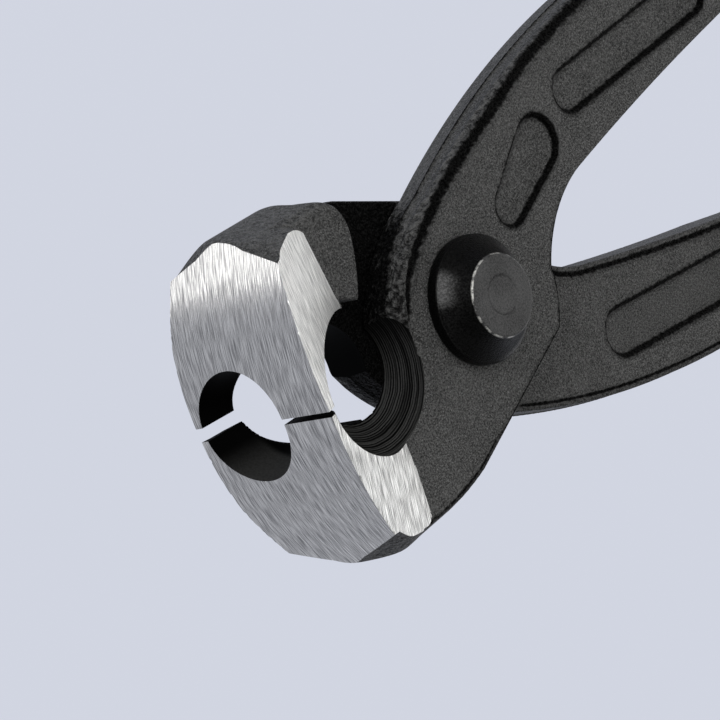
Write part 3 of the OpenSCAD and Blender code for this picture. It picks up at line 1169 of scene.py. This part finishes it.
@dataclass
class Wiring:
    """Adds and joins the nodes of one tree."""

    tree: bpy.types.NodeTree

    def feed(self, node: bpy.types.Node, key: object, value: object) -> None:
        """Gives an input of a node a value, or a link where the value is an output socket.

        Args:
            node: The node.
            key: Name or number of its input.
            value: A value, or an output socket.
        """
        if isinstance(value, bpy.types.NodeSocket):
            self.tree.links.new(value, node.inputs[key])
        else:
            node.inputs[key].default_value = value

    def add(self, kind: str, values: dict | None = None, **settings: object) -> bpy.types.Node:
        """A new node with settings, and values or links for its inputs.

        Args:
            kind: Blender's name of the node type.
            values: Input name or number to a value, or to an output socket that is linked to it.
            settings: Properties of the node.

        Returns:
            The node.
        """
        node = self.tree.nodes.new(kind)
        for key, value in settings.items():
            setattr(node, key, value)
        for key, value in (values or {}).items():
            self.feed(node, key, value)
        return node

    def math(self, operation: str, a: object, b: object = 0.0, c: object = 0.0,
             clamp: bool = False) -> bpy.types.NodeSocket:
        """Result of a Math node."""
        return self.add("ShaderNodeMath", {0: a, 1: b, 2: c}, operation=operation, use_clamp=clamp).outputs[0]

    def chain(self, operation: str, first: object, *others: object) -> bpy.types.NodeSocket:
        """Result of the same Math operation on several values, from the left.

        Args:
            operation: Blender's name of the operation.
            first: The first value.
            others: The values that follow.

        Returns:
            The last result.
        """
        for other in others:
            first = self.math(operation, first, other)
        return first

    def times(self, *values: object) -> bpy.types.NodeSocket:
        """Product of two or more values."""
        return self.chain("MULTIPLY", *values)

    def plus(self, *values: object) -> bpy.types.NodeSocket:
        """Sum of two or more values."""
        return self.chain("ADD", *values)

    def most(self, *values: object) -> bpy.types.NodeSocket:
        """Greatest of two or more values."""
        return self.chain("MAXIMUM", *values)

    def blend(self, factor: object, a: object, b: object) -> bpy.types.NodeSocket:
        """Colour between a and b, by the sockets of a Mix node."""
        return self.add("ShaderNodeMix", {0: factor, 6: a, 7: b}, data_type="RGBA").outputs[2]

    def ramp(self, value: object, low: float, high: float, to_low: float = 0.0,
             to_high: float = 1.0) -> bpy.types.NodeSocket:
        """A value carried smoothly from one range to another."""
        return self.add("ShaderNodeMapRange", {0: value, 1: low, 2: high, 3: to_low, 4: to_high},
                        interpolation_type="SMOOTHSTEP").outputs[0]

    def noise(self, vector: object, scale: object, detail: float = 2.0,
              rough: float = 0.5) -> bpy.types.NodeSocket:
        """Value of a noise from 0 to 1."""
        values = {"Vector": vector, "Scale": scale, "Detail": detail, "Roughness": rough}
        return self.add("ShaderNodeTexNoise", values).outputs[0]

    def stretched(self, vector: object, scale: tuple) -> bpy.types.NodeSocket:
        """A vector with each axis times its own factor."""
        return self.add("ShaderNodeMapping", {"Vector": vector, "Scale": scale}).outputs[0]

    def axes(self, vector: object) -> tuple[bpy.types.NodeSocket, ...]:
        """The three parts of a vector."""
        return tuple(self.add("ShaderNodeSeparateXYZ", {"Vector": vector}).outputs)

    def bump(self, shader: bpy.types.Node, height: object, strength: float, distance: float) -> None:
        """Gives a shader the relief of a height, of which one unit is the distance."""
        values = {"Height": height, "Strength": strength, "Distance": distance}
        self.feed(shader, "Normal", self.add("ShaderNodeBump", values).outputs[0])


def shader_group(name: str, inputs: dict[str, tuple[str, object]],
                 outputs: list[str]) -> tuple[Wiring, bpy.types.Node, bpy.types.Node]:
    """A new node group with named sockets.

    Args:
        name: Name of the group.
        inputs: Name to socket type and default value.
        outputs: Names of the outputs, which are numbers.

    Returns:
        The wiring of the group, its input node and its output node.
    """
    tree = bpy.data.node_groups.new(name, "ShaderNodeTree")
    for key, (kind, value) in inputs.items():
        socket = tree.interface.new_socket(key, in_out="INPUT", socket_type=kind)
        if value is not None:
            socket.default_value = value
    for key in outputs:
        tree.interface.new_socket(key, in_out="OUTPUT", socket_type="NodeSocketFloat")
    return Wiring(tree), tree.nodes.new("NodeGroupInput"), tree.nodes.new("NodeGroupOutput")


def make_sand_group() -> bpy.types.NodeTree:
    """Sandy speckle of a phosphated forging.

    It is a fine noise, sparse bright points, broad patches and a scaly skin.

    Returns:
        The group.
    """
    inputs = {"Vector": ("NodeSocketVector", None), "Scale": ("NodeSocketFloat", 3600.0)}
    w, given, made = shader_group("sand", inputs, ["Grain", "Points", "Patches", "Skin"])
    vector, scale = given.outputs["Vector"], given.outputs["Scale"]
    w.feed(made, "Grain", w.ramp(w.noise(vector, scale, 2.5, 0.65), 0.34, 0.66))
    w.feed(made, "Points", w.ramp(w.noise(vector, w.times(scale, 1.35), 1.0), 0.58, 0.70))
    w.feed(made, "Patches", w.ramp(w.noise(vector, w.times(scale, 0.05), 3.0), 0.35, 0.65))
    w.feed(made, "Skin", w.noise(vector, w.times(scale, 0.36), 2.0))
    return w.tree


def make_lines_group() -> bpy.types.NodeTree:
    """Lines left by a grinding belt.

    They are a fine and a coarse noise, both drawn out along X of the given vector.

    Returns:
        The group.
    """
    w, given, made = shader_group("belt_lines", {"Vector": ("NodeSocketVector", None)}, ["Tone", "Height"])
    vector = given.outputs["Vector"]
    fine = w.noise(w.stretched(vector, (480.0, 14500.0, 14500.0)), 1.0, 1.0)
    coarse = w.noise(w.stretched(vector, (290.0, 7400.0, 7400.0)), 1.0, 1.0)
    both = w.plus(w.times(fine, 0.55), w.times(coarse, 0.45))
    w.feed(made, "Tone", w.ramp(both, 0.37, 0.63))
    w.feed(made, "Height", both)
    return w.tree


@dataclass(frozen=True)
class Groups:
    """The shared node groups."""

    sand: bpy.types.NodeTree
    lines: bpy.types.NodeTree

    @staticmethod
    def make() -> "Groups":
        """Builds each group once."""
        return Groups(make_sand_group(), make_lines_group())


def new_material(name: str) -> tuple[bpy.types.Material, Wiring, bpy.types.Node, bpy.types.NodeSocket]:
    """A node material with its Principled shader and the Object coordinates.

    Args:
        name: Name of the material.

    Returns:
        The material, its wiring, its Principled shader and the coordinates.
    """
    material = bpy.data.materials.new(name)
    material.use_nodes = True
    wiring = Wiring(material.node_tree)
    shader = material.node_tree.nodes["Principled BSDF"]
    place = wiring.add("ShaderNodeTexCoord").outputs["Object"]
    return material, wiring, shader, place


@dataclass(frozen=True)
class ForgedFinish:
    """Black phosphated forging, with sandy speckle, and painted shade in its creases and recesses."""

    name: str
    dark: Colour
    light: Colour
    roughness: float
    specular: float
    speckle: float
    relief: float
    scale: float = 4300.0
    # sRGB steps by which points and scales are lighter than the light colour
    point_lift: float = 44.0
    scale_lift: float = 26.0

    def lighter(self, lift: float) -> tuple[float, float, float, float]:
        """The light colour, lighter by some sRGB steps."""
        return srgb(*(c + lift for c in self.light))

    def make(self, groups: Groups) -> bpy.types.Material:
        """The finish as a material.

        The attribute of painted shade and marks, broken up by the skin's noise, paints shade into creases and
        recesses, and half way it makes light scales. Where shade is painted the surface is also metallic, so
        that it throws back no white light.

        Args:
            groups: The shared node groups.

        Returns:
            The material.
        """
        material, w, shader, place = new_material(self.name)
        sand = w.add("ShaderNodeGroup", node_tree=groups.sand)
        w.feed(sand, "Vector", place)
        w.feed(sand, "Scale", self.scale)
        grain, points, patches, skin = (sand.outputs[k] for k in ("Grain", "Points", "Patches", "Skin"))
        painted_shade_and_marks = w.add("ShaderNodeAttribute", attribute_name="painted_shade_and_marks").outputs["Fac"]
        tone = w.plus(w.times(grain, 0.88), w.times(patches, 0.12))
        base = w.blend(tone, srgb(*self.dark), srgb(*self.light))
        base = w.blend(w.times(points, self.speckle), base, self.lighter(self.point_lift))
        scales = w.times(w.ramp(skin, 0.42, 0.66), w.math("MINIMUM", w.times(painted_shade_and_marks, 1.5), 0.5))
        base = w.blend(scales, base, self.lighter(self.scale_lift))
        broken = w.plus(painted_shade_and_marks, w.times(w.math("SUBTRACT", 0.5, skin), 0.75))
        shade = w.times(w.ramp(broken, 0.25, 0.75), w.ramp(grain, 0.0, 1.0, 1.0, 0.9))
        # Painted shade: near black, and metallic below, where the attribute is high
        w.feed(shader, "Base Color", w.blend(shade, base, srgb(4, 4, 4)))
        w.feed(shader, "Metallic", w.times(shade, 0.92))
        gloss = w.ramp(grain, 0, 1, self.roughness + 0.08, self.roughness - 0.06)
        w.feed(shader, "Roughness", w.math("ADD", gloss, w.times(painted_shade_and_marks, 0.25), clamp=True))
        w.feed(shader, "Specular IOR Level", self.specular)
        skin_height = w.times(skin, w.math("MULTIPLY_ADD", painted_shade_and_marks, 34.0, 2.2))
        w.bump(shader, w.plus(grain, w.times(points, 0.6), skin_height), self.relief, 0.00014)
        return material


@dataclass(frozen=True)
class GroundFinish:
    """Steel ground on a belt: metal with drawn-out lines.

    The lines run along Y turned by the angle about Z. An upright face reads its lines across Z, and a
    level one across X.
    """

    name: str
    dark: Colour
    light: Colour
    roughness: float
    angle: float
    upright: bool
    relief: float = 0.35

    def make(self, groups: Groups) -> bpy.types.Material:
        """The finish as a material.

        Args:
            groups: The shared node groups.

        Returns:
            The material.
        """
        material, w, shader, place = new_material(self.name)
        turned = w.add("ShaderNodeVectorRotate", {"Vector": place, "Angle": math.radians(90 + self.angle)},
                       rotation_type="Z_AXIS", invert=True).outputs[0]
        lines = w.add("ShaderNodeGroup", node_tree=groups.lines)
        w.feed(lines, "Vector", w.stretched(turned, (1.0, 0.0, 1.0) if self.upright else (1.0, 1.0, 0.0)))
        tone, height = lines.outputs["Tone"], lines.outputs["Height"]
        w.feed(shader, "Base Color", w.blend(tone, srgb(*self.dark), srgb(*self.light)))
        w.feed(shader, "Metallic", 1.0)
        w.feed(shader, "Roughness", w.ramp(tone, 0, 1, self.roughness + 0.08, self.roughness - 0.06))
        w.bump(shader, height, self.relief, 0.00005)
        return material


@dataclass(frozen=True)
class BoredFinish:
    """Blackened bore with the tool's fine turning lines, which run round it at one height."""

    name: str
    dark: Colour
    light: Colour
    pitch: float
    # Where the mouth gives way to the throat along X, and the throat's wall begins along Z, in metres
    throat_x: tuple = (-0.0272, -0.0262)
    throat_z: tuple = (-0.0008, 0.0004)
    # Where the light on the throat's wall and on the mouth's foot fades out along Y
    lit_y: tuple = (-0.003, 0.005)
    foot_y: tuple = (-0.0066, -0.0025)
    # How far the lines stray along Z
    drift: float = 0.00045
    specular: float = 0.02

    def make(self, groups: Groups) -> bpy.types.Material:
        """The finish as a material.

        The lines are bands of a wave along Z, broken up by noise, and are there in the throat alone. They
        fade towards +Y as painted light, and the foot of the mouth gets an even grey of painted sheen.

        Args:
            groups: The shared node groups.

        Returns:
            The material.
        """
        material, w, shader, place = new_material(self.name)
        x, y, height = w.axes(place)
        drift = w.times(w.math("SUBTRACT", w.noise(place, 260.0), 0.5), self.drift)
        z = w.plus(height, drift)
        parts = {0: w.times(x, 60.0), 1: w.times(y, 60.0), 2: w.times(z, 3300.0)}
        stretch = w.add("ShaderNodeCombineXYZ", parts)
        irregular = w.noise(stretch.outputs[0], 1.0, 2.0, 0.6)
        wave = w.math("SINE", w.times(z, 2 * math.pi / (self.pitch * MM)))
        throat = w.times(w.ramp(x, *self.throat_x), w.ramp(height, *self.throat_z))
        band = w.times(throat, w.plus(w.times(wave, 0.14), irregular))
        # Painted light: the lines are lighter towards -Y
        lit = w.ramp(y, *self.lit_y, 0.95, 0.15)
        grain = w.ramp(w.noise(place, 4200.0), 0.3, 0.7, 0.7, 1.0)
        # Painted sheen: an even grey on the mouth's foot, which fades out towards +Y
        mouth = w.times(w.ramp(x, *self.throat_x, 1.0, 0.0), w.ramp(y, *self.foot_y, 1.0, 0.0))
        tone = w.most(w.times(w.ramp(band, 0.36, 0.7), lit, grain), w.times(mouth, grain, 0.6))
        w.feed(shader, "Base Color", w.blend(tone, srgb(*self.dark), srgb(*self.light)))
        w.feed(shader, "Roughness", 0.6)
        w.feed(shader, "Specular IOR Level", self.specular)
        w.bump(shader, band, 0.5, 0.00012)
        return material


@dataclass(frozen=True)
class RivetFinish:
    """Blackened rivet whose top rim is worn bright, with painted highlights on its cone."""

    name: str
    dark: Colour
    light: Colour
    worn: Colour
    scale: float = 4200.0
    # Grey of the painted highlights on the cone
    highlight_grey: Colour = (84, 84, 84)
    face_dark: Colour = (34, 34, 34)
    face_light: Colour = (73, 73, 73)
    # Two painted highlights on the cone: angle about Z in degrees, spread, and inner radius in metres
    cone_highlights: tuple = ((147.0, 0.07, 0.0056), (-66.0, 0.24, 0.0066))
    # Radius where such a place is full, and where it ends at the cone's foot
    highlight_full: float = 0.0074
    highlight_end: tuple = (0.00755, 0.00768)
    # Heights over the middle of the joint where the top and its rim begin, and the rim's inner radius
    top_z: tuple = (0.01062, 0.01080)
    rim_z: tuple = (0.01060, 0.01082)
    rim_r: tuple = (0.00484, 0.00494)
    # Half of what the near head lies lower than the far one, which brings both to one height
    middle_z: float = 0.000025

    def make(self, groups: Groups) -> bpy.types.Material:
        """The finish as a material.

        The rim mask is a narrow band of the distance from the axis, broken by noise. The cone has two painted
        highlights in grey, each a band of angles about the axis near the head's foot.

        Args:
            groups: The shared node groups.

        Returns:
            The material.
        """
        material, w, shader, place = new_material(self.name)
        sand = w.add("ShaderNodeGroup", node_tree=groups.sand)
        w.feed(sand, "Vector", place)
        w.feed(sand, "Scale", self.scale)
        grain, points, patches = (sand.outputs[k] for k in ("Grain", "Points", "Patches"))
        x, y, z = w.axes(place)
        radius = w.math("SQRT", w.plus(w.math("POWER", x, 2.0), w.math("POWER", y, 2.0)))
        height = w.math("ABSOLUTE", w.plus(z, self.middle_z))
        top = w.ramp(height, *self.top_z)
        glow = 0.0
        # Painted highlights on the cone, each towards one direction about Z
        for degrees, spread, inner in self.cone_highlights:
            a = math.radians(degrees)
            way = w.plus(w.times(x, math.cos(a)), w.times(y, math.sin(a)))
            lobe = w.ramp(w.math("DIVIDE", way, radius), 1 - spread, 1.0)
            band = w.times(w.ramp(radius, inner, self.highlight_full), w.ramp(radius, *self.highlight_end, 1.0, 0.0))
            glow = w.most(glow, w.times(lobe, band))
        body = w.blend(grain, srgb(*self.dark), srgb(*self.light))
        body = w.blend(w.times(glow, w.ramp(grain, 0, 1, 0.4, 1.0)), body, srgb(*self.highlight_grey))
        mottle = w.plus(w.times(grain, 0.6), w.times(patches, 0.4))
        base = w.blend(top, body, w.blend(mottle, srgb(*self.face_dark), srgb(*self.face_light)))
        rim = w.times(w.ramp(radius, *self.rim_r), w.ramp(height, *self.rim_z))
        rub = w.times(rim, w.ramp(w.noise(place, 900.0, 3.0, 0.7), 0.42, 0.6))
        w.feed(shader, "Base Color", w.blend(rub, base, srgb(*self.worn)))
        cone = w.times(w.math("SUBTRACT", 1.0, top), w.math("SUBTRACT", 1.0, glow))
        w.feed(shader, "Metallic", w.times(w.most(rub, cone), 0.9))
        w.feed(shader, "Roughness", w.ramp(grain, 0, 1, 0.5, 0.38))
        w.feed(shader, "Specular IOR Level", 0.22)
        w.bump(shader, w.plus(grain, points), 0.35, 0.00008)
        return material


@dataclass(frozen=True)
class DippedFinish:
    """Dipped vinyl: a soft glossy skin with a slight orange peel."""

    name: str
    deep: Colour
    bright: Colour

    def make(self, groups: Groups) -> bpy.types.Material:
        """The finish as a material.

        Args:
            groups: The shared node groups.

        Returns:
            The material.
        """
        material, w, shader, place = new_material(self.name)
        cloud = w.noise(place, 45.0)
        peel = w.noise(place, 700.0, 1.5)
        fine = w.noise(place, 3200.0)
        w.feed(shader, "Base Color", w.blend(w.ramp(cloud, 0.3, 0.7), srgb(*self.deep), srgb(*self.bright)))
        w.feed(shader, "Roughness", w.ramp(fine, 0.3, 0.7, 0.34, 0.46))
        w.feed(shader, "Specular IOR Level", 0.5)
        w.feed(shader, "Coat Weight", 0.15)
        w.feed(shader, "Coat Roughness", 0.25)
        w.bump(shader, w.plus(peel, w.times(fine, 0.15)), 0.25, 0.0002)
        return material


@dataclass
class Studio:
    """Pale floor, soft lamps and the world's light. Lengths are metres."""

    floor_z: float = -0.11
    floor_half: float = 3.0
    backdrop: Colour = (210, 214, 226)
    world_strength: float = 0.34
    # Share of the backdrop's own colour in what is seen of the floor, which leaves the rest to shadows
    floor_glow: float = 0.95

    def floor(self) -> None:
        """A flat floor of one large face, which camera, glossy and transmission rays see as the backdrop."""
        mesh = bpy.data.meshes.new("floor")
        half, z = self.floor_half, self.floor_z
        corners = [(-half, -half, z), (half, -half, z), (half, half, z), (-half, half, z)]
        mesh.from_pydata(corners, [], [(0, 1, 2, 3)])
        material = bpy.data.materials.new("pale_floor")
        material.use_nodes = True
        w = Wiring(material.node_tree)
        w.tree.nodes.clear()
        path = w.add("ShaderNodeLightPath")
        seen = w.most(*(path.outputs[f"Is {ray} Ray"] for ray in ("Camera", "Glossy", "Transmission")))
        lit = w.add("ShaderNodeBsdfDiffuse", {"Color": srgb(*self.backdrop)}).outputs[0]
        glow = w.add("ShaderNodeEmission", {"Color": srgb(*self.backdrop), "Strength": 1.0}).outputs[0]
        mix = w.add("ShaderNodeMixShader", {0: w.times(seen, self.floor_glow), 1: lit, 2: glow})
        w.feed(w.add("ShaderNodeOutputMaterial"), 0, mix.outputs[0])
        mesh.materials.append(material)
        obj = bpy.data.objects.new("floor", mesh)
        bpy.context.scene.collection.objects.link(obj)

    def world(self) -> None:
        """Even light from all round, which the camera sees as the backdrop's colour."""
        world = bpy.data.worlds.new("studio")
        bpy.context.scene.world = world
        world.use_nodes = True
        w = Wiring(world.node_tree)
        w.tree.nodes.clear()
        path = w.add("ShaderNodeLightPath")
        white = {"Color": (1, 1, 1, 1), "Strength": self.world_strength}
        light = w.add("ShaderNodeBackground", white).outputs[0]
        seen = w.add("ShaderNodeBackground", {"Color": srgb(*self.backdrop), "Strength": 1.0}).outputs[0]
        mix = w.add("ShaderNodeMixShader", {0: path.outputs["Is Camera Ray"], 1: light, 2: seen})
        w.feed(w.add("ShaderNodeOutputWorld"), 0, mix.outputs[0])

    def lamp(self, name: str, place: tuple, aim: tuple, size: tuple, watts: float) -> None:
        """A rectangular lamp at a place, turned to a point.

        Args:
            name: Name of the lamp.
            place: Where it stands.
            aim: The point that it faces.
            size: Its width and height.
            watts: Its power.
        """
        data = bpy.data.lights.new(name, "AREA")
        data.shape = "RECTANGLE"
        data.size, data.size_y = size
        data.energy = watts
        obj = bpy.data.objects.new(name, data)
        obj.location = place
        obj.rotation_euler = (Vector(aim) - Vector(place)).to_track_quat("-Z", "Y").to_euler()
        obj.visible_camera = False
        bpy.context.scene.collection.objects.link(obj)

    def build(self) -> None:
        """Sets up the floor, the world and the lamps."""
        self.floor()
        self.world()
        self.lamp("overhead", (-0.05, 0.1, 1.2), (0.0, 0.0, 0.0), (1.4, 1.4), 9.0)
        self.lamp("upper_left", (-0.55, 0.72, 0.56), (0.0, 0.0, 0.0), (0.5, 0.5), 4.9)
        self.lamp("rear", (1.0, -0.18, 0.08), (0.0, 0.0, 0.0), (0.6, 0.6), 1.6)
        self.lamp("low_front", (-0.1, 0.08, -0.094), (-0.03, 0.017, 0.0), (0.055, 0.085), 0.03)


@dataclass
class PhotoCamera:
    """The camera of the photograph, as right, down and forward axes and the joint's place before it in mm."""

    right: tuple = (0.62067, -0.38163, 0.68493)
    down: tuple = (-0.41977, -0.89955, -0.12083)
    forward: tuple = (0.66224, -0.21251, -0.71852)
    joint: tuple = (9.174, -6.227, 472.454)
    lens: float = 200.0
    sensor: float = 36.0

    def build(self) -> None:
        """Adds the camera and makes it the scene's."""
        rows = np.array([self.right, self.down, self.forward])
        centre = -(rows.T @ np.array(self.joint)) * MM
        data = bpy.data.cameras.new("photo_camera")
        data.lens = self.lens
        data.sensor_width = self.sensor
        data.sensor_fit = "HORIZONTAL"
        data.clip_start = 0.01
        obj = bpy.data.objects.new("photo_camera", data)
        turn = [[self.right[i], -self.down[i], -self.forward[i], centre[i]] for i in range(3)]
        obj.matrix_world = Matrix(turn + [[0, 0, 0, 1]])
        bpy.context.scene.collection.objects.link(obj)
        bpy.context.scene.camera = obj


@dataclass
class Pliers:
    """The whole tool: both levers, the rivet and the two sleeves."""

    groups: Groups
    forged: ForgedFinish = ForgedFinish("black_forging", (16, 16, 16), (88, 88, 87), 0.52, 0.28, 0.6, 1.0)
    front: GroundFinish = GroundFinish("ground_front", (120, 119, 118), (206, 204, 199), 0.24, 0.0, True)
    # Lit and shaded copies of one ground steel: the far lever's sides are painted lighter as painted light,
    # the near lever's darker as painted shade
    near_side: GroundFinish = GroundFinish("ground_near_side", (112, 112, 112), (236, 236, 234), 0.38,
                                           -18.0, False)
    far_side: GroundFinish = GroundFinish("ground_far_side", (176, 176, 176), (255, 255, 253), 0.38,
                                          -4.0, False)
    bored: BoredFinish = BoredFinish("blackened_bore", (2, 2, 2), (64, 64, 63), 0.33)
    rivet: RivetFinish = RivetFinish("black_rivet", (4, 4, 4), (22, 22, 22), (190, 189, 184))
    vinyl: DippedFinish = DippedFinish("dipped_vinyl", (161, 23, 29), (175, 27, 33))

    def build(self) -> None:
        """Builds each piece, gives it its body, and lets it stand for its CAD node."""
        forged = self.forged.make(self.groups)
        front = self.front.make(self.groups)
        ground = {Side.NEAR: self.near_side.make(self.groups), Side.FAR: self.far_side.make(self.groups)}
        bored = self.bored.make(self.groups)
        vinyl = self.vinyl.make(self.groups)
        tables = None
        for side, node, body, grip in ((Side.NEAR, "near_lever", "near_half", "upper_grip"),
                                       (Side.FAR, "far_lever", "far_half", "lower_grip")):
            forging = LeverForging(side, tables=tables)
            tables = forging.tables
            lever = forging.build(f"{side.value}_forging", [forged, front, ground[side], bored])
            self.place(lever, node, body, "forged_steel")
            sleeve = DippedSleeve(forging).build(f"{grip}_sleeve", vinyl)
            self.place(sleeve, grip, body, "dipped_grip")
        rivet = TurnedRivet().build(self.rivet.make(self.groups))
        self.place(rivet, "joint_rivet", "near_half", "rivet_steel")

    @staticmethod
    def place(piece: bpy.types.Object, node: str, body: str, slot: str) -> None:
        """Ties a piece to its CAD node and body.

        Args:
            piece: The piece.
            node: Name of the CAD node.
            body: Name of the body.
            slot: Name of the material slot; not used.
        """
        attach(piece, body)
        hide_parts(node)


def main() -> None:
    """Builds the studio, the camera and the pliers."""
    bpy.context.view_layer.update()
    bpy.context.scene.view_settings.view_transform = "Standard"
    PhotoCamera().build()
    Studio().build()
    Pliers(Groups.make()).build()


if __name__ == "__main__":
    main()
